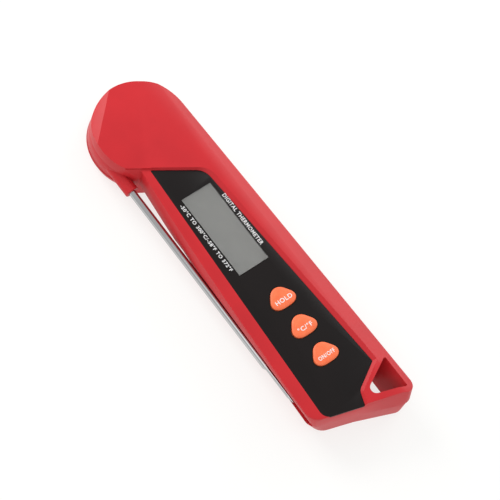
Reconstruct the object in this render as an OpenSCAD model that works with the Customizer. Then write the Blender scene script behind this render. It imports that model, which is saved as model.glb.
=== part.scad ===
// Folding meat thermometer: a red two-part case with a display and three buttons, and a
// stainless probe on a round head that swings out of the left side. Millimetres.
// X is across the case, +Y runs to the head, Z = 0 is the flat back and +Z is the display side.

/* [Case] */
// Overall thickness at the raised front face
case_t = 18; // [18:0.5:20]
// Radius of the round head
head_r = 20; // [20:0.25:20.5]
// Thickness of the moulded back wall
wall_t = 1.7; // [1.5:0.1:1.9]
// Slope of the wide bevel along the right edge, drop per millimetre
bevel_k = 0.4; // [0.3:0.05:0.45]
// Free gap between parts that move past each other
gap = 0.3; // [0.3:0.05:0.4]

/* [Display] */
// Display window width
window_w = 14.4; // [13.5:0.1:14.6]
// Display window length
window_l = 37.4; // [36:0.1:37.6]

/* [Buttons] */
// Distance from one button to the next
button_pitch = 13.45; // [13:0.05:14]
// Height of the button tops above the black faceplate
button_rise = 0.7; // [0.5:0.1:1.2]

/* [Probe] */
// Radius of the thick part of the probe
probe_r = 1.5; // [1.4:0.05:1.6]
// Radius of the thin end of the probe
tip_r = 0.85; // [0.8:0.05:1]
// Y of the probe's point when folded
tip_y = -58.9; // [-60:0.1:-58]

/* [Battery] */
// Battery radius (a standard AAA cell)
cell_r = 5.25; // [5.1:0.05:5.25]
// Battery length over its button (a standard AAA cell)
cell_l = 44.5; // [44:0.1:44.5]

/* [Hidden] */
eps = 0.01;
big = 60;
head = [-2.5, 62.5];
face_z = case_t - 1;
deck_z = face_z - 0.8;
deck_t = 0.9;
deck_b = deck_z - deck_t;
seam_z = 8.5;
probe_x = -19.1;
probe_z = 8.8;
hub_r = head_r - 0.4;
hub_b = 5.2;
hub_t = 12.4;
disc_b = hub_t + gap;
back_disc_t = hub_b - gap;
disc_skin = 2.2;
disc_wall = 2;
boss_r = 5;
pin_r = 2.49;
pin_seat = 2.5;
pin_z0 = 2.2;
pin_z1 = 14.2;
chord_a = 238.9;
chord_d = 17.9;
chord_lean = 17.5;
head_foot = 2;
head_foot_h = 4.5;
lip_lean = 30;
wall_lean = 20;
facet_a = 132.6;
facet_d = 15.9;
facet_k = 0.6;
pcb_b = 12.6;
pcb_t = 1;
pcb_top = pcb_b + pcb_t;
lcd_t = 1.4;
lcd_b = face_z - 0.9 - lcd_t;
lcd_c = [-1.1, 10.8];
button_c = [-0.5, -24.6];
button_flange = 0.8;
button_base = pcb_top + 0.9;
cell_c = [0, 7.15];
cell_y0 = -57.8;
bay_x = 5.9;
bay_y0 = -61;
bay_y1 = cell_y0 + cell_l + 0.4;
door_b = 0.3;
door_t = 1.2;
ledge = 1.9;
collar_r = 2.8;
collar_y = 44.6;
screws = [[-6.5, 37.5], [12.5, 37.5], [12.8, -52], [-13.1, -58]];
screw_r = 1;
screw_head_r = 1.9;

red = [0.78, 0.12, 0.13];
black = [0.05, 0.04, 0.045];
steel = [0.78, 0.78, 0.8];
orange = [1, 0.42, 0.22];

function unit(v) = v / norm(v);
function arc(c, r, a0, a1, n = 8) =
    [for (i = [0 : n]) c + r * [cos(a0 + (a1 - a0) * i / n), sin(a0 + (a1 - a0) * i / n)]];
// One corner b between a and c, rounded to radius r
function corner(a, b, c, r) =
    let (u = unit(a - b), w = unit(c - b), half = acos(u * w) / 2)
    let (m = b + unit(u + w) * r / sin(half), p = b + u * r / tan(half), q = b + w * r / tan(half))
    let (a0 = atan2(p.y - m.y, p.x - m.x), a1 = atan2(q.y - m.y, q.x - m.x))
    arc(m, r, a0, a0 + ((a1 - a0 + 540) % 360) - 180);
// A polygon from [x, y, corner radius] points
function rounded(p) =
    let (n = len(p), xy = [for (q = p) [q.x, q.y]])
    [for (i = [0 : n - 1]) each
        (p[i].z == 0 ? [xy[i]] : corner(xy[(i + n - 1) % n], xy[i], xy[(i + 1) % n], p[i].z))];

case_pts = rounded([[-13, 54, 0], [-14.4, 46, 0], [-16.3, 27, 0], [-17.9, 7, 0], [-19.2, -13, 0],
    [-20.3, -33, 0], [-21.2, -53, 0], [-22, -70.2, 6.5], [0, -76.9, 0], [22.95, -85.7, 4],
    [17.97, 74.1, 19], [7.4, 79.8, 0], [-2, 70, 0]]);
plate_pts = rounded([[-11.2, 46.3, 0.6], [7.6, 35, 7], [14.1, -63.9, 0.8], [2.2, -70.5, 4],
    [0, -76.6, 0.6], [-16.8, -71.8, 4]]);
hole_pts = rounded([[20.2, -64.5, 1.3], [1.6, -73.6, 2.3], [20.2, -79.53, 1.3]]);
front_room = [[-15.2, 8], [-12.4, 46], [12, 46], [15.2, 30], [15.2, -58.5], [3.5, -65.5],
    [-1, -69], [-13.5, -66.8], [-15.2, -64]];
back_room = [[-9.2, -5], [-9.2, 46], [12, 46], [15.2, 30], [15.2, -58.5], [3.5, -65.5],
    [-1, -69], [-12, -66.8], [-13.6, -64], [-13.6, -9]];
board_pts = [[-10.4, 34], [9.8, 34], [9.8, -62], [-10.4, -62]];

function button_pts(g) = concat(arc([3.75, -1.8], 2.4 + g, -90, 33.8),
    arc([0, 0.9], 4 + g, 33.8, 146.2), arc([-3.75, -1.8], 2.4 + g, 146.2, 270));

module prism(pts, z0, z1) {
    translate([0, 0, z0])
        linear_extrude(height = z1 - z0)
            polygon(pts);
}

module disc(c, r, z0, z1) {
    translate([c.x, c.y, z0])
        cylinder(r = r, h = z1 - z0, $fn = 96);
}

module ring(c, r0, r1, z0, z1) {
    difference() {
        disc(c, r1, z0, z1);
        disc(c, r0, z0 - 1, z1 + 1);
    }
}

module block(a, b) {
    translate(a)
        cube(b - a);
}

// A bar of round section along Y
module rod(x, z, r0, r1, y0, y1) {
    translate([x, y0, z])
        rotate([-90, 0, 0])
            cylinder(r1 = r0, r2 = r1, h = y1 - y0, $fn = 48);
}

// Everything above the plane through a level line at height z; the line passes p at angle a,
// and the plane falls by k per millimetre to the right of it
module above_plane(p, a, z, k) {
    translate([p.x, p.y, z])
        rotate([0, 0, a - 90])
            rotate([0, atan(k), 0])
                translate([-20, -200, 0])
                    cube([80, 400, 40]);
}

module case_outline(z0, z1) {
    prism(case_pts, z0, z1);
    disc(head, head_r, z0, z1);
}

// The flat cut across the lower left of the head, as the half space kept; it leans out below
module chord_side(d, z0, z1, lean = 0) {
    translate([head.x, head.y, z1])
        rotate([0, 0, chord_a])
            translate([d, 0, 0])
                rotate([0, -lean, 0])
                    translate([-2 * big, -2 * big, z0 - z1 - 5])
                        cube([2 * big, 4 * big, z1 - z0 + 10]);
}

// Where the hub turns: its disc, and the open left and top sides that its collar sweeps
module hub_space(z0, z1) {
    disc(head, hub_r + gap, z0, z1);
    block([-40, 56, z0], [40, 100, z1]);
    block([-40, 43, z0], [-14.75, 100, z1]);
}

// The groove that the folded probe lies in
module probe_groove() {
    block([-40, -68.5, probe_z - 1.9], [-16.9, 60, probe_z + 1.9]);
}

// The hanging hole: its right wall leans inwards towards the back
module hanging_hole() {
    intersection() {
        prism(hole_pts, -1, case_t + 1);
        translate([0, -60, 0])
            rotate([90, 0, 0])
                linear_extrude(height = 25)
                    polygon([[0, -1], [16.62, -1], [20.2, case_t + 1], [0, case_t + 1]]);
    }
}

// What lies beyond an upright plane through p that faces angle a and leans by t
module beyond(p, a, t) {
    translate(p)
        rotate([0, 0, a])
            rotate([t, 0, 0])
                translate([-big, -big, -p.z])
                    cube([2 * big, big, 40]);
}

// The end wall leans out towards the back, and its two corners are taken off
module end_lean() {
    beyond([-22, -70.2, face_z], -15.66, -12.1);
    beyond([-17.95, -70.16, seam_z], -54.6, 13.5);
    beyond([21.66, -81.17, face_z], 37.15, -7);
}

module screw_posts(r, z0, z1) {
    for (s = screws)
        disc(s, r, z0, z1);
}

module button_holes(g, z0, z1) {
    for (i = [0 : 2])
        translate([button_c.x, button_c.y - i * button_pitch, 0])
            prism(button_pts(g), z0, z1);
}

module front_shell() {
    color(red)
    difference() {
        union() {
            difference() {
                case_outline(seam_z, case_t);
                difference() {
                    prism(front_room, seam_z - 1, deck_b);
                    disc(head, hub_r + gap + 1.5, seam_z - 2, case_t);
                }
                hub_space(seam_z - 1, disc_b);
                // hollow under the head
                difference() {
                    intersection() {
                        disc(head, head_r - disc_wall, disc_b - 1, case_t - disc_skin);
                        chord_side(chord_d - disc_wall, disc_b - 1, case_t);
                    }
                    disc(head, boss_r, disc_b, case_t);
                }
            }
            intersection() {
                screw_posts(2.55, seam_z, deck_b + eps);
                case_outline(seam_z, case_t);
            }
        }
        // the head's flat lower left side, clear of the case below it
        difference() {
            block([-40, 30, disc_b - 1], [-12.2, 70, case_t + 1]);
            chord_side(chord_d, disc_b, case_t, chord_lean);
            prism(case_pts, disc_b - 2, face_z + 0.2);
        }
        // low band on the left of the faceplate and at the end
        prism([[-30, 58.2], [-8, 44.9], [-8, -60], [0, -73.5], [0, -95], [-30, -95]],
            face_z + 0.2, case_t + 1);
        prism(plate_pts, deck_z, case_t + 1);
        above_plane([14.1, 61], 90 + 0.6, case_t, bevel_k);
        above_plane([head.x + facet_d * cos(facet_a), head.y + facet_d * sin(facet_a)],
            facet_a + 90, case_t, facet_k);
        button_holes(0.35, deck_b - 1, case_t);
        block([lcd_c.x - 9.1, lcd_c.y - 20.8, deck_b - 1], [lcd_c.x + 9.1, lcd_c.y + 20.8, case_t]);
        disc(head, pin_seat, disc_b - 1, pin_z1);
        screw_posts(screw_r, seam_z - 1, 13.2);
        block([-3.6, 38, 13], [-1.4, 48, 14.5]);
        probe_groove();
        // the left wall leans in towards the groove
        intersection() {
            translate([-18.6, -15, probe_z + 1.9])
                rotate([0, 0, -1.2])
                    rotate([0, -wall_lean, 0])
                        translate([-20, -100, -20])
                            cube([20, 140, 40]);
            block([-40, -95, seam_z - 1], [-10, 20, face_z]);
        }
        hanging_hole();
        end_lean();
    }
}

module back_shell() {
    color(red)
    difference() {
        union() {
            difference() {
                union() {
                    prism(case_pts, 0, seam_z);
                    translate([head.x, head.y, 0])
                        cylinder(r1 = head_r - head_foot, r2 = head_r, h = head_foot_h, $fn = 96);
                    disc(head, head_r, head_foot_h, seam_z);
                }
                difference() {
                    prism(back_room, wall_t, seam_z + 1);
                    disc(head, hub_r + gap + 1.5, 0, seam_z + 2);
                }
                hub_space(back_disc_t, seam_z + 1);
                difference() {
                    disc(head, head_r - disc_wall - 1, 1.8, back_disc_t + 1);
                    disc(head, boss_r, 0, back_disc_t);
                }
            }
            screw_posts(2.6, wall_t - 0.5, seam_z);
            // battery bay: thick floor round its opening, and its four walls
            block([-9.4, bay_y0 - 3.4, 0.5], [9.4, bay_y1 + 3.4, 3.2]);
            block([-bay_x - 1.2, bay_y0 - 1.2, 1], [bay_x + 1.2, bay_y1 + 1.2, 11.6]);
        }
        block([-bay_x, bay_y0, -1], [bay_x, bay_y1, 13]);
        block([-bay_x - ledge - gap, bay_y0 - ledge - gap, -1],
            [bay_x + ledge + gap, bay_y1 + ledge + gap, door_b + door_t + gap]);
        // finger recess under the upper left edge, and the set-back lower lip
        intersection() {
            translate([-14.2, 46, seam_z])
                rotate([0, 0, -4.9])
                    rotate([0, -28, 0])
                        translate([-20, -140, -40])
                            cube([20, 170, 40]);
            block([-40, -7.7, -1], [10, 56, seam_z]);
            difference() {
                block([-40, -8, -1], [10, 60, seam_z]);
                disc(head, head_r, -2, seam_z + 1);
            }
        }
        intersection() {
            translate([-17.1, -7.7, probe_z - 1.9])
                rotate([0, 0, -2.1])
                    rotate([0, -lip_lean, 0])
                        translate([-20, -80, -20])
                            cube([20, 90, 20]);
            block([-40, -90, -1], [0, -7.69, seam_z]);
        }
        translate([-17.1, -7.7, probe_z - 1.9])
            rotate([0, 0, -2.1])
                translate([-20, -80, -eps])
                    cube([20, 79, 3]);
        // back bevel along the right edge
        mirror([0, 0, 1])
            above_plane([16.9, 62.5], 90 + 1.785, 0, 3.2);
        disc(head, pin_seat, pin_z0, seam_z);
        screw_posts(screw_r + 0.2, -1, seam_z + 1);
        screw_posts(screw_head_r + 0.2, -1, 2.5);
        probe_groove();
        hanging_hole();
        end_lean();
    }
}

module faceplate() {
    color(black)
    difference() {
        prism(plate_pts, deck_z, face_z);
        button_holes(0.35, deck_z - 1, case_t);
        block([lcd_c.x - window_w / 2, lcd_c.y - window_l / 2, deck_z - 1],
            [lcd_c.x + window_w / 2, lcd_c.y + window_l / 2, case_t]);
    }
}

module display_window() {
    color([0.7, 0.75, 0.75, 0.4])
    block([lcd_c.x - window_w / 2, lcd_c.y - window_l / 2, deck_z],
        [lcd_c.x + window_w / 2, lcd_c.y + window_l / 2, face_z]);
}

module lcd_glass() {
    color([0.55, 0.56, 0.54])
    block([lcd_c.x - 8.8, lcd_c.y - 20.5, lcd_b], [lcd_c.x + 8.8, lcd_c.y + 20.5, lcd_b + lcd_t]);
}

module lcd_frame() {
    color([0.9, 0.9, 0.88])
    difference() {
        block([lcd_c.x - 9.3, lcd_c.y - 21.6, pcb_top], [lcd_c.x + 9.9, lcd_c.y + 21.6, deck_b]);
        block([lcd_c.x - 8.9, lcd_c.y - 20.6, pcb_top - 1],
            [lcd_c.x + 8.9, lcd_c.y + 20.6, deck_b + 1]);
    }
}

module contact_strips() {
    color([0.8, 0.45, 0.55])
    for (s = [-1, 1])
        block([lcd_c.x - 7.9, lcd_c.y + s * 19.1 - 1, pcb_top],
            [lcd_c.x + 7.9, lcd_c.y + s * 19.1 + 1, lcd_b]);
}

module circuit_board() {
    color([0.1, 0.4, 0.2])
    prism(board_pts, pcb_b, pcb_top);
}

module controller_chip() {
    color([0.08, 0.08, 0.08])
    disc([0, 20], 4.5, pcb_b - 1.2, pcb_b);
}

module board_parts() {
    color([0.35, 0.3, 0.25])
    for (p = [[-6, 5], [-2, 5], [2, 5], [6, 5], [-6, 29], [5, 29]])
        block([p.x - 1, p.y - 0.6, pcb_b - 0.8], [p.x + 1, p.y + 0.6, pcb_b]);
}

module keypad_mat() {
    color([0.25, 0.25, 0.27])
    difference() {
        block([-9, -59, pcb_top], [8.5, -16, pcb_top + 0.2]);
        for (i = [0 : 2])
            disc([button_c.x, button_c.y - i * button_pitch], 3.3, pcb_b, deck_b);
    }
}

module contact_domes() {
    color(steel)
    for (i = [0 : 2])
        disc([button_c.x, button_c.y - i * button_pitch], 3, pcb_top, pcb_top + 0.2);
}

module button(i) {
    color(orange)
    translate([button_c.x, button_c.y - i * button_pitch, 0]) {
        prism(button_pts(0), button_base, face_z + button_rise);
        prism(button_pts(button_flange), button_base, deck_b - gap);
    }
}

module button_hold() {
    button(0);
}

module button_units() {
    button(1);
}

module button_power() {
    button(2);
}

module battery() {
    color([0.2, 0.22, 0.25]) {
        rod(cell_c.x, cell_c.y, cell_r, cell_r, cell_y0, cell_y0 + cell_l - 1);
        rod(cell_c.x, cell_c.y, 1.9, 1.9, cell_y0 + cell_l - 1.1, cell_y0 + cell_l);
    }
}

module battery_plate() {
    color(steel)
    block([-4.5, bay_y1 - 0.4, 3.4], [4.5, bay_y1, 11]);
}

module battery_spring() {
    color(steel)
    translate([-3, 0, 0])
        rotate([90, 0, 90])
            linear_extrude(height = 6)
                polygon([[bay_y0, 3.4], [bay_y0, 11], [bay_y0 + 0.4, 11], [bay_y0 + 0.4, 4.4],
                    [cell_y0 - 0.4, 7], [bay_y0 + 0.7, 10], [bay_y0 + 1.1, 10.2], [cell_y0, 7],
                    [bay_y0 + 0.4, 3.4]]);
}

module battery_door() {
    color(red) {
        block([-bay_x - ledge, bay_y0 - ledge, door_b],
            [bay_x + ledge, bay_y1 + ledge, door_b + door_t]);
        for (i = [0 : 4])
            block([-4, bay_y1 - 5 - i * 1.6, door_b - 0.2], [4, bay_y1 - 4.2 - i * 1.6, door_b + eps]);
    }
}

module case_screws() {
    color(steel)
    for (s = screws) {
        disc(s, screw_r, 2.4, 13);
        difference() {
            disc(s, screw_head_r, 0.9, 2.5);
            block([s.x - 1.3, s.y - 0.25, 0], [s.x + 1.3, s.y + 0.25, 1.6]);
            block([s.x - 0.25, s.y - 1.3, 0], [s.x + 0.25, s.y + 1.3, 1.6]);
        }
    }
}

module probe_hub() {
    color(red)
    difference() {
        union() {
            disc(head, hub_r, hub_b, hub_t);
            rod(probe_x, probe_z, collar_r, collar_r, collar_y, 58);
            block([probe_x - 0.5, collar_y, probe_z], [probe_x + 0.5, 53, probe_z + 3.1]);
        }
        difference() {
            disc(head, 12, hub_b + 1.2, hub_t + 1);
            disc(head, 4.4, hub_b, hub_t + 1);
        }
        ring(head, 4.4, 13.6, hub_t - 1.2, hub_t + 1);
        disc(head, 4.4, hub_t - 0.7, hub_t + 1);
        disc(head, 4.4, hub_b - 1, hub_b + 0.7);
        disc(head, pin_r + 0.06, 0, case_t);
        rod(probe_x, probe_z, probe_r + 0.02, probe_r + 0.02, collar_y - 1, 63);
        block([probe_x, 61.4, probe_z - 1], [head.x - 10, 63, probe_z + 1]);
    }
}

module hub_cover() {
    color(red)
    ring(head, 4.5, 13.5, hub_t - 1.2, hub_t);
}

module probe_tube() {
    color(steel)
    difference() {
        union() {
            rod(probe_x, probe_z, probe_r, probe_r, tip_y + 17.8, 61);
            rod(probe_x, probe_z, tip_r, probe_r, tip_y + 16.2, tip_y + 17.8);
            rod(probe_x, probe_z, tip_r, tip_r, tip_y + 3, tip_y + 16.2);
            rod(probe_x, probe_z, 0.15, tip_r, tip_y, tip_y + 3);
        }
        rod(probe_x, probe_z, probe_r - 0.35, probe_r - 0.35, tip_y + 18, 62);
        rod(probe_x, probe_z, tip_r - 0.3, tip_r - 0.3, tip_y + 3.4, tip_y + 19);
    }
}

module sensor_bead() {
    color([0.15, 0.15, 0.15])
    rod(probe_x, probe_z, 0.45, 0.45, tip_y + 3.6, tip_y + 5.6);
}

module sensor_wires() {
    color([0.85, 0.8, 0.2])
    for (s = [-1, 1]) {
        rod(probe_x + 0.25 * s, probe_z, 0.18, 0.18, tip_y + 5.6, 62.2 + 0.25 * s);
        translate([probe_x + 0.25 * s, 62.2 + 0.25 * s, probe_z])
            rotate([0, 90, 0])
                cylinder(r = 0.18, h = head.x - 8 + 0.3 * s - probe_x - 0.25 * s, $fn = 24);
        translate([head.x, head.y, probe_z])
            rotate_extrude(angle = 250, $fn = 96)
                translate([8 - 0.3 * s, 0])
                    circle(r = 0.18, $fn = 24);
    }
}

module pivot_pin() {
    color(steel)
    disc(head, pin_r, pin_z0, pin_z1);
}

module friction_washers() {
    color(steel) {
        ring(head, pin_r + 0.1, 4.3, hub_t - 0.7, hub_t);
        ring(head, pin_r + 0.1, 4.3, hub_b, hub_b + 0.7);
    }
}

module board_wires() {
    color([0.2, 0.2, 0.8])
    for (s = [-1, 1])
        rod(head.x + 0.45 * s, pcb_top + 0.3, 0.3, 0.3, 32.6, 55);
}

front_shell();
back_shell();
faceplate();
display_window();
lcd_glass();
lcd_frame();
contact_strips();
circuit_board();
controller_chip();
board_parts();
keypad_mat();
contact_domes();
button_hold();
button_units();
button_power();
battery();
battery_plate();
battery_spring();
battery_door();
case_screws();
probe_hub();
hub_cover();
probe_tube();
sensor_bead();
sensor_wires();
pivot_pin();
friction_washers();
board_wires();
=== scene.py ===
# %% [markdown]
# # A folding meat thermometer
# The model is a pocket thermometer: a red plastic case, a black panel with a display and
# three soft buttons, and a steel probe that folds into the side of the case.
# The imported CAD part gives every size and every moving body. Blender gives the looks:
# softened edges, the keys' domed tops, the printed legends and the finishes.

# %% Load the frame
import bpy
import bmesh
import math
from mathutils import Matrix, Vector


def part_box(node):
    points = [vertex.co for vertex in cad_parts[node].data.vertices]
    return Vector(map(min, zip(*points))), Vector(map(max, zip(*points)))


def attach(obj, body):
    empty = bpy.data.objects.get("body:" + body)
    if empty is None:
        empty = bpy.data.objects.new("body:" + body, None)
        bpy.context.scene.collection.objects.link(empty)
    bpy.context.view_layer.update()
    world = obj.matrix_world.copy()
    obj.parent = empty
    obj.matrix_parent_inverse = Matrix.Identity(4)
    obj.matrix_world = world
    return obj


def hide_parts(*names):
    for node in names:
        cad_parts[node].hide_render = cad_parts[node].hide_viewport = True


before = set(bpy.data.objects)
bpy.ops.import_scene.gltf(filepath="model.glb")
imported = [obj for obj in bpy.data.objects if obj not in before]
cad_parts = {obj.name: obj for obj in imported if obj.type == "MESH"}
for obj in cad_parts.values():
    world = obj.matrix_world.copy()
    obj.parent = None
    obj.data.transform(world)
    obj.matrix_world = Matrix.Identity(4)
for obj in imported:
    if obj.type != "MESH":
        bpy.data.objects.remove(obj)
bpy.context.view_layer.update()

MM = 0.001

# %% [markdown]
# ## Where things are
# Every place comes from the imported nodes. The face of the black panel, the top of the head
# and the axis of the pivot are read from their boxes, so a change in the CAD moves the
# Blender pieces with it.

# %% Read the main places
plate_lo, plate_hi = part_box("faceplate")
front_lo, front_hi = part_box("front_shell")
window_lo, window_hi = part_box("display_window")
pin_lo, pin_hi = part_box("pivot_pin")
hub_lo, hub_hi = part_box("probe_hub")
tube_lo, tube_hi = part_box("probe_tube")
door_lo, door_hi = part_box("battery_door")
FACE = plate_hi[2] / MM
TOP = front_hi[2] / MM
SEAM = front_lo[2] / MM
HEAD = ((pin_lo[0] + pin_hi[0]) / 2 / MM, (pin_lo[1] + pin_hi[1]) / 2 / MM)
HEAD_R = front_hi[1] / MM - HEAD[1]
print("panel face", FACE, "top", TOP, "pivot", HEAD, "head radius", HEAD_R)

# %% [markdown]
# ## Drawing and cutting tools
# A moulded case is easiest to build the way a toolmaker thinks of it: draw an outline, pull
# it up into a slab, and take pockets out of it with other slabs. Drawing is one vertex that
# is extruded from point to point, then filled. These helpers keep that in a few words.
# Everything is selected in code, so each helper starts from an empty selection.

# %% Selecting
def rest():
    """Leave edit mode with nothing selected."""
    if bpy.context.object and bpy.context.object.mode != "OBJECT":
        bpy.ops.object.mode_set(mode="OBJECT")
    bpy.ops.object.select_all(action="DESELECT")


def hold(*pieces):
    """Select these pieces only, the last one active."""
    rest()
    for piece in pieces:
        piece.select_set(True)
        bpy.context.view_layer.objects.active = piece


# %% Outlines
ARC_STEPS = 10


def rounded(corners):
    """Points of an outline given as (x, y, corner radius)."""
    points = []
    for i, (x, y, radius) in enumerate(corners):
        here = Vector((x, y))
        if radius == 0:
            points.append(here)
            continue
        back = (Vector(corners[i - 1][:2]) - here).normalized()
        on = (Vector(corners[(i + 1) % len(corners)][:2]) - here).normalized()
        half = back.angle(on) / 2
        centre = here + (back + on).normalized() * radius / math.sin(half)
        start = here + back * radius / math.tan(half) - centre
        end = here + on * radius / math.tan(half) - centre
        turn = start.angle_signed(end)
        for k in range(ARC_STEPS + 1):
            points.append(centre + Matrix.Rotation(-turn * k / ARC_STEPS, 2) @ start)
    return points


def pushed(corners, outward, radii):
    """The outline with edge i moved out by outward[i], and new corner radii."""
    n = len(corners)
    area = sum(corners[i][0] * corners[(i + 1) % n][1] - corners[(i + 1) % n][0] * corners[i][1]
               for i in range(n))
    side = 1 if area > 0 else -1
    lines = []
    for i in range(n):
        a, b = Vector(corners[i][:2]), Vector(corners[(i + 1) % n][:2])
        d = (b - a).normalized()
        lines.append((a + Vector((d.y, -d.x)) * side * outward[i], d))
    moved = []
    for i in range(n):
        (p, d), (q, e) = lines[i - 1], lines[i]
        t = ((q - p).x * e.y - (q - p).y * e.x) / (d.x * e.y - d.y * e.x)
        moved.append((*(p + d * t), radii[i]))
    return moved


def trace(name, points, z):
    """One vertex, extruded from point to point into an open wire at height z."""
    rest()
    first = points[0]
    bpy.ops.mesh.primitive_plane_add(size=MM, location=(first[0] * MM, first[1] * MM, z * MM))
    piece = bpy.context.object
    piece.name = name
    bpy.ops.object.transform_apply(location=True, rotation=False, scale=False)
    bpy.ops.object.mode_set(mode="EDIT")
    bpy.ops.mesh.select_mode(type="VERT")
    bpy.ops.mesh.select_all(action="SELECT")
    bpy.ops.mesh.merge(type="CENTER")
    for a, b in zip(points, points[1:]):
        bpy.ops.mesh.extrude_vertices_move(TRANSFORM_OT_translate={
            "value": ((b[0] - a[0]) * MM, (b[1] - a[1]) * MM, 0)})
    return piece


# %% Slabs, columns and blocks
def closed(piece):
    """Merge doubles and point every face outwards."""
    hold(piece)
    bpy.ops.object.mode_set(mode="EDIT")
    bpy.ops.mesh.select_all(action="SELECT")
    bpy.ops.mesh.remove_doubles(threshold=1e-6)
    bpy.ops.mesh.normals_make_consistent(inside=False)
    rest()
    return piece


def slab(name, points, z0, z1):
    """An outline filled and pulled up from z0 to z1."""
    piece = trace(name, points, z0)
    bpy.ops.mesh.select_all(action="SELECT")
    bpy.ops.mesh.edge_face_add()
    bpy.ops.mesh.extrude_region_move(TRANSFORM_OT_translate={"value": (0, 0, (z1 - z0) * MM)})
    return closed(piece)


def loft(name, low, z0, high, z1):
    """Two outlines with as many points each, bridged into a solid with slanting sides."""
    rings = []
    for label, points, z in (("low", low, z0), ("high", high, z1)):
        ring = trace(name + label, points, z)
        bpy.ops.mesh.select_all(action="SELECT")
        bpy.ops.mesh.edge_face_add()
        bpy.ops.mesh.delete(type="ONLY_FACE")
        rings.append(ring)
    hold(*rings)
    bpy.ops.object.join()
    piece = bpy.context.object
    piece.name = name
    bpy.ops.object.mode_set(mode="EDIT")
    bpy.ops.mesh.select_mode(type="EDGE")
    bpy.ops.mesh.select_all(action="SELECT")
    bpy.ops.mesh.bridge_edge_loops()
    bpy.ops.mesh.select_all(action="SELECT")
    bpy.ops.mesh.fill_holes(sides=0)
    return closed(piece)


def column(name, centre, radius, z0, z1, around=128):
    rest()
    bpy.ops.mesh.primitive_cylinder_add(
        vertices=around, radius=radius * MM, depth=(z1 - z0) * MM,
        location=(centre[0] * MM, centre[1] * MM, (z0 + z1) / 2 * MM))
    piece = bpy.context.object
    piece.name = name
    bpy.ops.object.transform_apply(location=True, rotation=True, scale=True)
    return piece


def along_y(name, x, z, radius, y0, y1, around=48):
    """A round bar lying along Y."""
    rest()
    bpy.ops.mesh.primitive_cylinder_add(
        vertices=around, radius=radius * MM, depth=(y1 - y0) * MM,
        location=(x * MM, (y0 + y1) / 2 * MM, z * MM), rotation=(math.radians(90), 0, 0))
    piece = bpy.context.object
    piece.name = name
    bpy.ops.object.transform_apply(location=True, rotation=True, scale=True)
    return piece


def block(name, low, high):
    rest()
    bpy.ops.mesh.primitive_cube_add(
        size=1, location=[(a + b) / 2 * MM for a, b in zip(low, high)],
        scale=[(b - a) * MM for a, b in zip(low, high)])
    piece = bpy.context.object
    piece.name = name
    bpy.ops.object.transform_apply(location=True, rotation=True, scale=True)
    return piece


# %% Cutting and softening
def carve(piece, tool, how="DIFFERENCE"):
    """Cut with, add or keep only what lies in another solid, which is used up."""
    hold(piece)
    mod = piece.modifiers.new(how.lower(), "BOOLEAN")
    mod.object = tool
    mod.operation = how
    mod.solver = "MANIFOLD"
    bpy.ops.object.modifier_apply(modifier=mod.name)
    bpy.data.objects.remove(tool, do_unlink=True)
    return piece


def slice_off(piece, point, normal):
    """Saw off what lies beyond a plane and close the cut."""
    hold(piece)
    bpy.ops.object.mode_set(mode="EDIT")
    bpy.ops.mesh.select_all(action="SELECT")
    bpy.ops.mesh.bisect(plane_co=[v * MM for v in point], plane_no=normal, use_fill=True,
                        clear_outer=True, threshold=1e-7)
    rest()
    return piece


def round_off(piece, wall, other, radius, steps=8):
    """Round the edge where two planes meet by sawing thin facets round a cylinder."""
    (p, n), (q, m) = [(Vector(a), Vector(b).normalized()) for a, b in (wall, other)]
    along = n.cross(m)
    rows = Matrix((n, m, along))
    centre = rows.inverted() @ Vector((p.dot(n) - radius, q.dot(m) - radius, q.dot(along)))
    for k in range(1, steps):
        facing = n.slerp(m, k / steps)
        slice_off(piece, centre + facing * radius, facing)


def report(piece):
    check = bmesh.new()
    check.from_mesh(piece.data)
    loose = sum(1 for e in check.edges if not e.is_manifold)
    print(f"{piece.name}: {len(check.verts)} vertices, {check.calc_volume() / MM ** 3:.0f} mm3,"
          f" {loose} open edges")
    check.free()
    return loose


# %% [markdown]
# ## The case outline
# Both halves of the case share one outline. It is narrow at the head and widens to a slanted
# end. The left side is very slightly bowed, the right side is straight. A copy with sharp
# corners at the end is used for the slabs, because those corners stand between leaning walls
# and are rounded by sawing thin facets round a slanting cylinder.

# %% Case outline
CASE = [(-13, 54, 0), (-14.4, 46, 0), (-16.3, 27, 0), (-17.9, 7, 0), (-19.2, -13, 0),
        (-20.3, -33, 0), (-21.2, -53, 0), (-22, -70.2, 6.5), (0, -76.9, 0), (22.95, -85.7, 4),
        (17.97, 74.1, 19), (7.4, 79.8, 0), (-2, 70, 0)]
SHARP = [(x, y, 0 if y < -60 else radius) for x, y, radius in CASE]
PLATE = [(-11.2, 46.3, 0.6), (7.6, 35, 7), (14.1, -63.9, 0.8), (2.2, -70.5, 4),
         (0, -76.6, 0.6), (-16.8, -71.8, 4)]
HOLE = [(20.2, -64.5, 1.3), (1.6, -73.6, 2.3), (20.2, -79.53, 1.3)]
HOLE_WALL = ((16.8, 0, 0), (1, 0, -0.179))
GROOVE_IN = -16.9
GROOVE_Z = (tube_lo[2] + tube_hi[2]) / 2 / MM
GROOVE_H = 1.9
GROOVE_END = -68.5
HUB_LOW, HUB_HIGH = hub_lo[2] / MM, hub_hi[2] / MM
HUB_PLAY = 0.06
print("groove axis", GROOVE_Z, "hub", HUB_LOW, HUB_HIGH)

# %% [markdown]
# ## Front half of the case
# The front half is a slab with a round head. A wide bevel runs down the right edge, and a
# flat facet takes the upper left of the head. Its outer edges are rounded while the form is
# still simple, because a bevel goes astray where many small edges meet. The left band and
# the end sit lower than the head, and the black panel lies in a pocket with sloping sides,
# so that cutter is a loft between two outlines.

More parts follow.
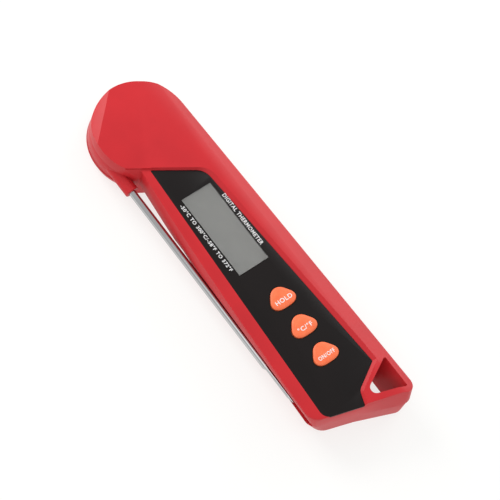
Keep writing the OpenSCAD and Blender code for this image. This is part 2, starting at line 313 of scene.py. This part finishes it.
# %% Front half: slab, head and facets
def spun(angle, flat, rise):
    """A direction at an angle in the plane, leaning up."""
    a = math.radians(angle)
    return (math.cos(a) * flat, math.sin(a) * flat, rise)


def reach(angle, distance, z):
    """A point at a distance from the pivot."""
    return (HEAD[0] + spun(angle, distance, 0)[0], HEAD[1] + spun(angle, distance, 0)[1], z)


BEVEL_FALL = 0.4
FACET_ANGLE, FACET_REACH, FACET_FALL = 132.6, 15.9, 0.6
CHORD_ANGLE, CHORD_REACH, CHORD_LEAN = 238.9, 17.9, 0.315
BAND = FACE + 0.2
RIGHT_BEVEL = ((14.1, 61, TOP), spun(0.6, BEVEL_FALL, 1))
FACET = (reach(FACET_ANGLE, FACET_REACH, TOP), spun(FACET_ANGLE, FACET_FALL, 1))
END_WALL = ((-22, -70.2, FACE), (-0.264, -0.942, 0.21))
LEFT_WALL = ((-18.6, -15, GROOVE_Z + GROOVE_H), (-0.94, 0.0197, -0.342))
LEFT_SIDE = ((-22, -70.2, 0), (-0.9989, 0.0465, 0))
RIGHT_SIDE = ((22.95, -85.7, 0), (0.9995, 0.0311, 0))

front = slab("front_case", rounded(SHARP), SEAM, TOP)
slice_off(front, *LEFT_WALL)
slice_off(front, *END_WALL)
round_off(front, LEFT_SIDE, END_WALL, 6)
round_off(front, LEFT_WALL, END_WALL, 5)
round_off(front, RIGHT_SIDE, END_WALL, 4)
carve(front, column("head", HEAD, HEAD_R, SEAM, TOP), "UNION")
slice_off(front, *RIGHT_BEVEL)
slice_off(front, *FACET)
low_part = [(-30, 58.2), (-8, 44.9), (-8, -60), (0, -73.5), (0, -95), (-30, -95)]
carve(front, slab("low", low_part, BAND, TOP + 2))
side_cut = block("side_cut", (-40, 30, HUB_HIGH - 1), (-12.2, 70, TOP + 1))
slice_off(side_cut, reach(CHORD_ANGLE, CHORD_REACH, TOP),
          spun(CHORD_ANGLE + 180, 1, -CHORD_LEAN))
carve(side_cut, slab("keep", rounded(CASE), HUB_HIGH - 2, BAND))
carve(front, side_cut)
report(front)


# %% Front half: round the outer edges
def soften(piece, width, low=-1.0, high=99.0, over=28.0, steps=3):
    """Round the edges between two heights that turn by more than some degrees."""
    closed(piece)
    hold(piece)
    bpy.ops.object.mode_set(mode="EDIT")
    bpy.ops.mesh.select_all(action="SELECT")
    bpy.ops.mesh.remove_doubles(threshold=0.03 * MM)
    bpy.ops.mesh.dissolve_limited(angle_limit=math.radians(0.3))
    rest()
    form = bmesh.new()
    form.from_mesh(piece.data)
    sharp = []
    for edge in form.edges:
        ends = [v.co.z / MM for v in edge.verts]
        sharp.append(len(edge.link_faces) == 2 and min(ends) >= low and max(ends) <= high
                     and math.degrees(edge.calc_face_angle(0)) > over
                     and edge.calc_length() > width * MM * 0.5)
    form.free()
    hold(piece)
    bpy.ops.object.mode_set(mode="EDIT")
    bpy.ops.mesh.select_mode(type="EDGE")
    bpy.ops.mesh.select_all(action="DESELECT")
    rest()
    for edge, chosen in zip(piece.data.edges, sharp):
        edge.select = chosen
    hold(piece)
    bpy.ops.object.mode_set(mode="EDIT")
    bpy.ops.mesh.bevel(offset=width * MM, segments=steps, clamp_overlap=True, affect="EDGES")
    closed(piece)
    print(piece.name, "rounded", sum(sharp), "edges")
    return piece


soften(front, 0.4, low=SEAM + 1)
report(front)

# %% Front half: panel pocket, hub space, groove, hole and inside
carve(front, slab("pocket", rounded(PLATE), plate_lo[2] / MM, TOP + 2))
SLOPES = (0.7, 1.7, 1.2, 0.9, 0.0, 0.0)
RISE_OF_SLOPE = 1.5
wide = pushed(PLATE, [s * RISE_OF_SLOPE for s in SLOPES], (0.6, 8.5, 0.8, 3, 0.6, 4))
carve(front, loft("slopes", rounded(PLATE), FACE, rounded(wide), FACE + RISE_OF_SLOPE))


def hub_space(z0, z1):
    """The room that the hub and its collar sweep."""
    room = column("hub_room", HEAD, HEAD_R - 0.1, z0, z1)
    carve(room, block("open_top", (-40, 56, z0), (40, 100, z1)), "UNION")
    return carve(room, block("open_side", (-40, 43, z0), (-14.75, 100, z1)), "UNION")


def groove():
    return block("groove", (-40, GROOVE_END, GROOVE_Z - GROOVE_H),
                 (GROOVE_IN, 60, GROOVE_Z + GROOVE_H))


def hanging_hole():
    hole = slab("hole", rounded(HOLE), -2, TOP + 2)
    return slice_off(hole, *HOLE_WALL)


carve(front, hub_space(SEAM - 1, HUB_HIGH + HUB_PLAY))
carve(front, groove())
carve(front, hanging_hole())
room = [(-15.2, 8), (-12.4, 46), (12, 46), (15.2, 30), (15.2, -58.5), (3.5, -65.5),
        (-1, -69), (-13.5, -66.8), (-15.2, -64)]
inside = slab("inside", room, SEAM - 1, plate_lo[2] / MM - 0.9)
carve(inside, column("hub_wall", HEAD, HEAD_R + 1.4, SEAM - 2, TOP))
carve(front, inside)
carve(front, column("pin_seat", HEAD, 2.5, HUB_HIGH - 1, pin_hi[2] / MM))
report(front)

# %% Front half: key holes and the display opening
KEY_OFFSET = (0.35, -0.1)
KEYS = []
for name in ("button_hold", "button_units", "button_power"):
    low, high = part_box(name)
    KEYS.append(tuple((low[i] + high[i]) / 2 / MM + KEY_OFFSET[i] for i in (0, 1)))
KEY_POINTS = 48
KEY_WIDE, KEY_LONG = 1.14, 0.91


def key_outline(centre, grow=0.0):
    """A key's outline: a rounded triangle with bowed sides, pointing to the head."""
    points = []
    for k in range(KEY_POINTS):
        a = math.tau * k / KEY_POINTS
        r = 4.75 + 0.5 * math.cos(3 * (a - math.pi / 2)) + grow
        points.append((centre[0] + math.cos(a) * r * KEY_WIDE,
                       centre[1] + math.sin(a) * r * KEY_LONG))
    return points


WINDOW = [v / MM for v in (*window_lo, *window_hi)]


def openings(piece, z0, z1, margin):
    """Cut the three key holes and the display opening."""
    for centre in KEYS:
        carve(piece, slab("key_hole", key_outline(centre, margin), z0, z1))
    return carve(piece, block("display_hole", (WINDOW[0] - 0.05, WINDOW[1] - 0.05, z0),
                              (WINDOW[3] + 0.05, WINDOW[4] + 0.05, z1)))


DECK = plate_lo[2] / MM
openings(front, DECK - 3, DECK + 0.5, 0.3)
carve(front, block("display_well", (WINDOW[0] - 1.9, WINDOW[1] - 2.1, DECK - 3),
                   (WINDOW[3] + 1.9, WINDOW[4] + 2.1, DECK + 0.2)))
report(front)

# %% [markdown]
# ## Back half of the case
# The back half has the same outline up to the parting line. On the left it is cut back: a
# sloping finger recess lies under the folded probe, so that a nail can lift it, and below it
# a set-back lip guards the point. The foot of the head is coned, and the right edge has a
# wide bevel, which makes the case look thinner than it is.

# %% Back half: form
HEAD_FOOT, HEAD_FOOT_HEIGHT = 2.0, 4.5
LIP = (-17.1, -7.7, GROOVE_Z - GROOVE_H)
BACK_BEVEL = ((16.9, 62.5, 0), (0.953, 0.0297, -0.298))
RECESS_WALL = ((-14.2, 46, SEAM), (0.8797, -0.0754, 0.4695))
LIP_WALL = (LIP, (-0.8654, 0.0317, -0.5))
END_LEFT = ((0, -76.9, 0), (-0.2913, -0.9566, 0))
END_RIGHT = ((0, -76.9, 0), (-0.358, -0.9337, 0))
back = slab("back_case", rounded(SHARP), 0, SEAM)
lip = block("lip", (-40, -95, -1), (-10, -7.7, SEAM + 1))
slice_off(lip, LIP, (0.8654, -0.0317, 0.5))
edge = block("edge", (-40, -95, LIP[2]), (-10, -7.7, SEAM + 1))
slice_off(edge, LIP, (0.9993, -0.0366, 0))
carve(lip, edge, "UNION")
carve(back, lip)
slice_off(back, *END_WALL)
for side, end, radius in ((LEFT_SIDE, END_LEFT, 6.5), (LIP_WALL, END_LEFT, 5),
                          (RIGHT_SIDE, END_RIGHT, 5), (RIGHT_SIDE, END_WALL, 5)):
    round_off(back, side, end, radius)
rest()
bpy.ops.mesh.primitive_cone_add(
    vertices=128, radius1=(HEAD_R - HEAD_FOOT) * MM, radius2=HEAD_R * MM,
    depth=HEAD_FOOT_HEIGHT * MM, location=(HEAD[0] * MM, HEAD[1] * MM, HEAD_FOOT_HEIGHT / 2 * MM))
foot = bpy.context.object
bpy.ops.object.transform_apply(location=True, rotation=True, scale=True)
hold(foot)
bpy.ops.object.mode_set(mode="EDIT")
bpy.ops.mesh.select_mode(type="FACE")
bpy.ops.mesh.select_all(action="DESELECT")
rest()
for face in foot.data.polygons:
    face.select = face.normal.z > 0.9
hold(foot)
bpy.ops.object.mode_set(mode="EDIT")
bpy.ops.mesh.extrude_region_move(TRANSFORM_OT_translate={
    "value": (0, 0, (SEAM - HEAD_FOOT_HEIGHT) * MM)})
closed(foot)
carve(back, foot, "UNION")
slice_off(back, *BACK_BEVEL)
soften(back, 0.45, high=SEAM - 1)
report(back)

# %% Back half: recess, groove and hole
recess = block("recess", (-40, -7.7, -1), (10, 56, SEAM + 0.5))
slice_off(recess, *RECESS_WALL)
carve(recess, column("head_stays", HEAD, HEAD_R, -2, SEAM + 2))
carve(back, recess)
carve(back, hub_space(HUB_LOW - HUB_PLAY, SEAM + 1))
carve(back, groove())
carve(back, hanging_hole())
report(back)

# %% Back half: inside, battery bay and screw holes
back_room = [(-9.2, -5), (-9.2, 46), (12, 46), (15.2, 30), (15.2, -58.5), (3.5, -65.5),
             (-1, -69), (-12, -66.8), (-13.6, -64), (-13.6, -9)]
cavity = slab("cavity", back_room, 3.2, SEAM + 1)
carve(cavity, column("hub_wall", HEAD, HEAD_R + 1.4, 0, SEAM + 2))
bay_lo = (door_lo[0] / MM + 1.9, door_lo[1] / MM + 1.9)
bay_hi = (door_hi[0] / MM - 1.9, door_hi[1] / MM - 1.9)
carve(cavity, block("bay_wall", (bay_lo[0] - 1.2, bay_lo[1] - 1.2, 0),
                    (bay_hi[0] + 1.2, bay_hi[1] + 1.2, 20)))
carve(back, cavity)
carve(back, block("bay", (bay_lo[0], bay_lo[1], -1), (bay_hi[0], bay_hi[1], 20)))
carve(back, block("door_seat", (door_lo[0] / MM - 0.25, door_lo[1] / MM - 0.25, -1),
                  (door_hi[0] / MM + 0.25, door_hi[1] / MM + 0.25, door_hi[2] / MM + 0.3)))
SCREWS = [(-6.5, 37.5), (12.5, 37.5), (12.8, -52), (-13.1, -58)]
for place in SCREWS:
    carve(back, column("counterbore", place, 2.1, -1, 2.5, 48))
carve(back, column("pin_seat", HEAD, 2.5, pin_lo[2] / MM, SEAM))
report(back)

# %% [markdown]
# ## Black panel
# The panel is a thin plate that fills the pocket, with a printed gloss-black face. Its rim is
# lightly broken, so it draws a fine line of light against the red.

# %% Black panel
panel = slab("black_panel", rounded(pushed(PLATE, [-0.04] * 6, [r for _, _, r in PLATE])),
             DECK, FACE - 0.02)
soften(panel, 0.15, low=DECK + 0.1, steps=2)
openings(panel, DECK - 1, FACE + 1, 0.3)
report(panel)

# %% [markdown]
# ## Keys
# Each key is soft rubber: a rounded triangle with a bellied top. The outline is pulled up,
# and the top face is then inset again and again, each time a little higher, which rolls the
# edge over and leaves a nearly flat crown for the print. One key is made and copied.

# %% Keys
KEY_EDGE, KEY_FOOT = 17.38, 14.6
KEY_ROLL = ((0.18, 0.14), (0.25, 0.12), (0.35, 0.1), (0.5, 0.08), (0.6, 0.04))


def pick_top(piece):
    """Select the highest upward face in edit mode."""
    hold(piece)
    bpy.ops.object.mode_set(mode="EDIT")
    bpy.ops.mesh.select_mode(type="FACE")
    bpy.ops.mesh.select_all(action="DESELECT")
    rest()
    top = max(f.center.z for f in piece.data.polygons)
    for face in piece.data.polygons:
        face.select = face.normal.z > 0.99 and face.center.z > top - 1e-6
    hold(piece)
    bpy.ops.object.mode_set(mode="EDIT")


key = slab("key_hold", key_outline(KEYS[0]), KEY_FOOT, KEY_EDGE)
for inset, lift in KEY_ROLL:
    pick_top(key)
    bpy.ops.mesh.inset(thickness=inset * MM, depth=0)
    bpy.ops.transform.translate(value=(0, 0, lift * MM))
rest()
KEY_TOP = KEY_EDGE + sum(lift for _, lift in KEY_ROLL)
hold(key)
bpy.ops.object.shade_smooth_by_angle(angle=math.radians(40))
keys = [key]
for i, name in ((1, "key_units"), (2, "key_power")):
    hold(key)
    bpy.ops.object.duplicate()
    copy = bpy.context.object
    copy.name = name
    copy.location = ((KEYS[i][0] - KEYS[0][0]) * MM, (KEYS[i][1] - KEYS[0][1]) * MM, 0)
    bpy.ops.object.transform_apply(location=True, rotation=False, scale=False)
    keys.append(copy)
for piece in keys:
    report(piece)

# %% [markdown]
# ## Probe hub
# The hub is the disc that turns inside the head, with the collar that grips the tube. It
# fills the slot between the two halves, so the head reads as one body. Its inside is bored
# and stepped for the pin, the washers and the cover, which come from the CAD.

# %% Probe hub
HUB_EDGE = HEAD_R - 0.12
PROBE_X = (tube_lo[0] + tube_hi[0]) / 2 / MM
PROBE_R = (tube_hi[0] - tube_lo[0]) / 2 / MM
hub = column("hub_body", HEAD, HUB_EDGE, HUB_LOW - 0.02, HUB_HIGH + 0.02)
soften(hub, 0.05, steps=2)
collar = along_y("collar", PROBE_X, GROOVE_Z, 2.8, 44.6, 58, 64)
soften(collar, 0.35, over=50)
carve(hub, collar, "UNION")
rib = block("rib", (PROBE_X - 0.5, 44.6, GROOVE_Z), (PROBE_X + 0.5, 53, GROOVE_Z + 3.1))
soften(rib, 0.2)
carve(hub, rib, "UNION")
well = column("well", HEAD, 12, HUB_LOW + 1.2, HUB_HIGH + 1)
carve(well, column("boss", HEAD, 4.4, HUB_LOW, HUB_HIGH + 2))
carve(hub, well)
step = column("step", HEAD, 13.6, HUB_HIGH - 1.2, HUB_HIGH + 1)
carve(step, column("boss", HEAD, 4.4, HUB_LOW, HUB_HIGH + 2))
carve(hub, step)
carve(hub, column("upper_washer", HEAD, 4.4, HUB_HIGH - 0.7, HUB_HIGH + 1))
carve(hub, column("lower_washer", HEAD, 4.4, HUB_LOW - 1, HUB_LOW + 0.7))
carve(hub, column("bore", HEAD, 2.55, 0, TOP))
carve(hub, along_y("tube_bore", PROBE_X, GROOVE_Z, PROBE_R + 0.02, 43.6, 63))
carve(hub, block("wire_way", (PROBE_X, 61.4, GROOVE_Z - 1), (HEAD[0] - 10, 63, GROOVE_Z + 1)))
report(hub)

# %% [markdown]
# ## Probe
# The probe is a drawn steel tube: a stem, a short swage down to a thin measuring end, and a
# ground point. Such a shape is turned, so its profile is drawn as a wire and spun about its
# axis.

# %% Probe
POINT = tube_lo[1] / MM
TIP_R = 0.85
profile = [(0, 61), (PROBE_R - 0.1, 61), (PROBE_R, 60.9), (PROBE_R, POINT + 17.9),
           (PROBE_R - 0.08, POINT + 17.5), (TIP_R + 0.1, POINT + 16.4),
           (TIP_R, POINT + 16), (TIP_R, POINT + 3.6), (TIP_R - 0.06, POINT + 2.8),
           (0.2, POINT + 0.15), (0, POINT)]
probe = trace("probe_stem", [(PROBE_X + r, y) for r, y in profile], GROOVE_Z)
bpy.ops.mesh.select_all(action="SELECT")
bpy.ops.mesh.spin(steps=64, angle=math.tau, center=(PROBE_X * MM, 0, GROOVE_Z * MM),
                  axis=(0, 1, 0))
closed(probe)
hold(probe)
bpy.ops.object.shade_smooth_by_angle(angle=math.radians(35))
report(probe)

# %% [markdown]
# ## Battery door
# The door is a flat lid let into the back, with rounded edges and five finger ribs. One rib
# is made and copied down the row.

# %% Battery door
DOOR = [v / MM for v in (*door_lo, *door_hi)]
lid = block("battery_lid", (DOOR[0], DOOR[1], 0.3), (DOOR[3], DOOR[4], DOOR[5]))
soften(lid, 0.3)
for i in range(5):
    rib_y = DOOR[4] - 1.9 - 4.6 - i * 1.6
    rib = block("door_rib", (-4, rib_y - 0.4, 0.12), (4, rib_y + 0.4, 0.6))
    soften(rib, 0.15, steps=2)
    carve(lid, rib, "UNION")
report(lid)

# %% Shade the moulded pieces
for piece in (front, back, panel, hub, lid):
    hold(piece)
    bpy.ops.object.shade_smooth_by_angle(angle=math.radians(25))

# %% [markdown]
# ## Legends
# The print is white ink on the panel and the keys. It is generic: what the thing is, its
# range, and what each key does. Each line is a text object, thickened a little because the
# built-in letters are thin, turned into a mesh, and sized to its place.

# %% Legends
INK = 0.012


def legend(name, words, centre, length, height, turn, z):
    """A line of print of a given length and letter height, turned in the plane."""
    rest()
    bpy.ops.object.text_add(location=(0, 0, 0))
    text = bpy.context.object
    text.data.body = words
    text.data.offset = 0.016
    text.data.space_character = 1.12
    text.data.extrude = 0.5
    text.data.resolution_u = 3
    text.data.align_x = "CENTER"
    text.data.align_y = "CENTER"
    bpy.ops.object.convert(target="MESH")
    piece = bpy.context.object
    piece.name = name
    spots = [v.co for v in piece.data.vertices]
    low = [min(s[i] for s in spots) for i in range(3)]
    high = [max(s[i] for s in spots) for i in range(3)]
    size = (length, height, INK)
    piece.data.transform(Matrix.Translation([-(a + b) / 2 for a, b in zip(low, high)]))
    piece.scale = [s * MM / (b - a) for s, a, b in zip(size, low, high)]
    bpy.ops.object.transform_apply(location=False, rotation=False, scale=True)
    piece.rotation_euler = (0, 0, math.radians(turn))
    piece.location = (centre[0] * MM, centre[1] * MM, z * MM)
    bpy.ops.object.transform_apply(location=True, rotation=True, scale=False)
    return closed(piece)


FACE_PRINT = FACE - 0.02 + INK / 2
prints = [
    legend("print_name", "DIGITAL THERMOMETER", (7.6, 10.3), 25.0, 1.75, -90, FACE_PRINT),
    legend("print_range", "-50°C TO 300°C/-58°F TO 572°F", (-9.7, 11.55), 32.5, 1.6, -90,
           FACE_PRINT),
]
KEY_WORDS = (("HOLD", 7.9, 1.85), ("°C/°F", 6.8, 1.9), ("ON/OFF", 7.9, 1.65))
for centre, (words, length, height), name in zip(KEYS, KEY_WORDS, ("hold", "units", "power")):
    place = (centre[0] + 0.1, centre[1] - 0.85)
    prints.append(legend("print_" + name, words, place, length, height, 0, KEY_TOP + INK / 2))
for piece in prints:
    report(piece)

# %% [markdown]
# ## Riding and replacing
# Every new piece rides on the body of the CAD node that it stands for, and that node is
# hidden. Each piece is given its node's finish further down, with the finishes.

# %% Ride and replace
PAIRS = ((front, "housing", "front_shell", "red_plastic"),
         (back, "housing", "back_shell", "red_plastic"),
         (panel, "housing", "faceplate", "black_panel"),
         (keys[0], "hold_button", "button_hold", "button_orange"),
         (keys[1], "units_button", "button_units", "button_orange"),
         (keys[2], "power_button", "button_power", "button_orange"),
         (hub, "probe", "probe_hub", "red_plastic"),
         (probe, "probe", "probe_tube", "stainless"),
         (lid, "door", "battery_door", "red_plastic"))
for piece, body, node, slot in PAIRS:
    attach(piece, body)
    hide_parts(node)
for piece, body in zip(prints, ("housing", "housing", "hold_button", "units_button",
                                "power_button")):
    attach(piece, body)
print(len(PAIRS) + len(prints), "pieces ride")


# %% [markdown]
# ## Finishes
# Every finish is built from the same few nodes: a soft noise that drifts between two near
# shades, and a fine noise that gives the grain and moves between two near roughnesses. What
# tells the materials apart is the size of the grain, how deep it is and how glossy the surface
# is.
# Sizes are real, because the noises read Object coordinates in metres: 1 divided by the size
# of a grain is its scale.

# %% A finish from noises
def finish(name, shade, other, patch=12.0, rough=(0.3, 0.4), grain=0.4, depth=0.01,
           stretch=(1, 1, 1), **sockets):
    """A material: two shades in patches (mm), a roughness range, a grain size and depth (mm)."""
    mat = bpy.data.materials.new(name)
    mat.use_nodes = True
    nodes, links = mat.node_tree.nodes, mat.node_tree.links
    bsdf = nodes["Principled BSDF"]
    for socket, value in sockets.items():
        bsdf.inputs[socket.replace("_", " ")].default_value = value
    place = nodes.new("ShaderNodeTexCoord")
    turn = nodes.new("ShaderNodeMapping")
    turn.inputs["Scale"].default_value = stretch
    links.new(place.outputs["Object"], turn.inputs["Vector"])
    drift = nodes.new("ShaderNodeTexNoise")
    drift.inputs["Scale"].default_value = 1000 / patch
    drift.inputs["Detail"].default_value = 4
    links.new(turn.outputs["Vector"], drift.inputs["Vector"])
    ramp = nodes.new("ShaderNodeValToRGB")
    ramp.color_ramp.elements[0].position = 0.3
    ramp.color_ramp.elements[0].color = (*shade, 1)
    ramp.color_ramp.elements[1].position = 0.7
    ramp.color_ramp.elements[1].color = (*other, 1)
    links.new(drift.outputs["Fac"], ramp.inputs["Fac"])
    links.new(ramp.outputs["Color"], bsdf.inputs["Base Color"])
    fine = nodes.new("ShaderNodeTexNoise")
    fine.inputs["Scale"].default_value = 1000 / grain
    fine.inputs["Detail"].default_value = 2
    links.new(turn.outputs["Vector"], fine.inputs["Vector"])
    gloss = nodes.new("ShaderNodeMapRange")
    gloss.inputs["To Min"].default_value, gloss.inputs["To Max"].default_value = rough
    links.new(fine.outputs["Fac"], gloss.inputs["Value"])
    links.new(gloss.outputs["Result"], bsdf.inputs["Roughness"])
    bump = nodes.new("ShaderNodeBump")
    bump.inputs["Strength"].default_value = 0.6
    bump.inputs["Distance"].default_value = depth * MM
    links.new(fine.outputs["Fac"], bump.inputs["Height"])
    links.new(bump.outputs["Normal"], bsdf.inputs["Normal"])
    return mat


# %% [markdown]
# ### What is seen
# The case is glossy ABS with a very fine spark-eroded grain. The panel is smoother and nearly
# black. The keys are silicone rubber: matt, a little blotchy, with some light passing under
# the surface. The stem is drawn steel, so its grain is stretched along its length.

# %% Finishes that are seen
red = finish("red_plastic", (0.555, 0.022, 0.028), (0.505, 0.02, 0.026), patch=14,
             rough=(0.32, 0.44), grain=0.25, depth=0.004, Specular_IOR_Level=0.2)
red_hub = finish("red_plastic_hub", (0.545, 0.022, 0.028), (0.495, 0.019, 0.025), patch=10,
                 rough=(0.34, 0.46), grain=0.25, depth=0.004, Specular_IOR_Level=0.2)
black = finish("black_panel", (0.0075, 0.0048, 0.0046), (0.0055, 0.0036, 0.0036), patch=20,
               rough=(0.26, 0.36), grain=0.3, depth=0.002, Specular_IOR_Level=0.22)
orange = finish("key_rubber", (0.92, 0.185, 0.062), (0.88, 0.145, 0.045), patch=3,
                rough=(0.45, 0.6), grain=0.18, depth=0.006, Subsurface_Weight=0.08,
                Subsurface_Radius=(0.0008, 0.0004, 0.0002), Subsurface_Scale=1.0)
steel = finish("drawn_steel", (0.45, 0.455, 0.46), (0.56, 0.565, 0.57), patch=5,
               rough=(0.07, 0.14), grain=0.12, depth=0.002, stretch=(1, 0.04, 1), Metallic=1.0)
white = finish("white_ink", (0.82, 0.82, 0.82), (0.76, 0.76, 0.76), patch=1,
               rough=(0.4, 0.5), grain=0.1, depth=0.002)
floor_finish = finish("table", (0.26, 0.26, 0.257), (0.24, 0.24, 0.238), patch=300,
                      rough=(0.6, 0.7), grain=2, depth=0.01, Specular_IOR_Level=0.1,
                      Emission_Color=(1.0, 1.0, 0.985, 1), Emission_Strength=0.74)
print("finishes for what is seen:", [m.name for m in (red, black, orange, steel, white)])

# %% [markdown]
# ### What is inside
# The parts inside come from the CAD as they are. They are seen when the door is lifted or the
# case is taken apart in a viewer, so each has its own finish too: the window and the display
# behind it, the green board, brass, tin, rubber and the cell's printed jacket.

# %% Finishes for the parts inside
window = finish("clear_window", (0.97, 0.98, 0.97), (0.95, 0.96, 0.95), patch=30,
                rough=(0.05, 0.09), grain=0.5, depth=0.0005, Transmission_Weight=1.0, IOR=1.5)
display = finish("lcd_grey", (0.40, 0.39, 0.38), (0.365, 0.36, 0.35), patch=9,
                 rough=(0.28, 0.36), grain=0.35, depth=0.001, stretch=(1, 0.02, 1))
frame_white = finish("white_plastic", (0.74, 0.74, 0.72), (0.68, 0.68, 0.66), patch=6,
                     rough=(0.4, 0.55), grain=0.3, depth=0.006)
board = finish("board_green", (0.012, 0.10, 0.035), (0.018, 0.14, 0.05), patch=2.5,
               rough=(0.25, 0.45), grain=0.5, depth=0.01)
epoxy = finish("dark_epoxy", (0.012, 0.012, 0.014), (0.03, 0.03, 0.032), patch=2,
               rough=(0.35, 0.6), grain=0.2, depth=0.02)
pink = finish("pink_elastomer", (0.72, 0.28, 0.30), (0.62, 0.22, 0.25), patch=1.2,
              rough=(0.5, 0.65), grain=0.15, depth=0.01)
rubber = finish("grey_rubber", (0.16, 0.16, 0.165), (0.12, 0.12, 0.125), patch=4,
                rough=(0.55, 0.75), grain=0.2, depth=0.012)
spring_steel = finish("contact_steel", (0.66, 0.64, 0.58), (0.55, 0.53, 0.49), patch=2,
                      rough=(0.18, 0.35), grain=0.15, depth=0.004, Metallic=1.0)
pin_steel = finish("turned_steel", (0.55, 0.55, 0.57), (0.62, 0.62, 0.63), patch=3,
                   rough=(0.2, 0.3), grain=0.1, depth=0.004, stretch=(1, 1, 6), Metallic=1.0)
jacket = finish("cell_jacket", (0.02, 0.05, 0.16), (0.03, 0.07, 0.2), patch=8,
                rough=(0.22, 0.34), grain=0.3, depth=0.003, Metallic=0.3)
wire = finish("wire_jacket", (0.6, 0.45, 0.03), (0.5, 0.36, 0.02), patch=1.5,
              rough=(0.4, 0.55), grain=0.1, depth=0.004)
INSIDE = {"display_window": window, "lcd_glass": display, "lcd_frame": frame_white,
          "contact_strips": pink, "circuit_board": board, "controller_chip": epoxy,
          "board_parts": epoxy, "keypad_mat": rubber, "contact_domes": spring_steel,
          "battery": jacket, "battery_plate": spring_steel, "battery_spring": spring_steel,
          "case_screws": pin_steel, "hub_cover": red_hub, "sensor_bead": epoxy,
          "sensor_wires": wire, "pivot_pin": pin_steel, "friction_washers": spring_steel,
          "board_wires": wire}
STANDS_FOR = {"front_shell": red, "back_shell": red, "faceplate": black, "probe_hub": red_hub,
              "button_hold": orange, "button_units": orange, "button_power": orange,
              "probe_tube": steel, "battery_door": red}


def wear(piece, mat):
    """Give a piece one finish."""
    piece.data.materials.clear()
    piece.data.materials.append(mat)


for name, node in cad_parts.items():
    wear(node, INSIDE.get(name) or STANDS_FOR[name])
for piece, _, node, _ in PAIRS:
    wear(piece, STANDS_FOR[node])
for piece in prints:
    wear(piece, white)
print(len(INSIDE), "inside parts finished")

# %% [markdown]
# ## Camera
# The camera stands to the lower left and looks down steeply, with a long lens, and is rolled
# so that the case runs from the upper left to the lower right.

# %% Camera
AIM = Vector((2.3, -1.4, 16.0)) * MM
DISTANCE = 0.900
SIDE = math.radians(64.9)
RISE = math.radians(62.1)
ROLL = math.radians(29.7)
LENS = 168.3

toward = Vector((-math.sin(SIDE) * math.cos(RISE), -math.cos(SIDE) * math.cos(RISE),
                 math.sin(RISE)))
rest()
bpy.ops.object.camera_add(location=AIM + toward * DISTANCE)
camera = bpy.context.object
camera.name = "camera"
camera.data.lens = LENS
camera.data.sensor_width = 36.0
camera.data.clip_start = 0.01
look = (-toward).to_track_quat("-Z", "Y").to_matrix().to_4x4()
camera.matrix_world = (Matrix.Translation(AIM + toward * DISTANCE) @ look
                       @ Matrix.Rotation(ROLL, 4, "Z"))
bpy.context.scene.camera = camera
print("camera at", tuple(round(v, 3) for v in camera.matrix_world.translation))

# %% [markdown]
# ## Floor and light
# The object lies on a plain pale table that glows a little from below, as a product
# photographer's light table does, so its shadow stays faint. A softbox stands beyond the
# head and a second one low on the right, so the slanting edges catch more light than the
# flat front, and a weak fill on the left keeps the side walls from going black.

# %% Floor and light
rest()
bpy.ops.mesh.primitive_plane_add(size=6.0, location=(0, 0, 0))
floor = bpy.context.object
floor.name = "floor"
floor.data.materials.append(floor_finish)


def light(name, place, aim, size, watts, shade=(1, 1, 1)):
    """A square softbox at a place, turned to an aim."""
    bpy.ops.object.light_add(type="AREA", location=place)
    lamp = bpy.context.object
    lamp.name = name
    lamp.data.shape = "SQUARE"
    lamp.data.size = size
    lamp.data.energy = watts
    lamp.data.color = shade
    lamp.rotation_euler = (Vector(aim) - Vector(place)).to_track_quat("-Z", "Y").to_euler()
    return lamp


light("key", (-0.2, 1.05, 0.68), (0, 0, 0), 0.6, 9)
light("side", (1.1, 0.24, 0.42), (0, 0, 0), 0.8, 5)
light("fill", (-0.7, -0.5, 1.1), (0, 0, 0), 1.2, 3)

world = bpy.data.worlds.new("studio")
bpy.context.scene.world = world
world.use_nodes = True
world.node_tree.nodes["Background"].inputs["Color"].default_value = (1, 1, 1, 1)
world.node_tree.nodes["Background"].inputs["Strength"].default_value = 0.7
bpy.context.scene.view_settings.view_transform = "Standard"
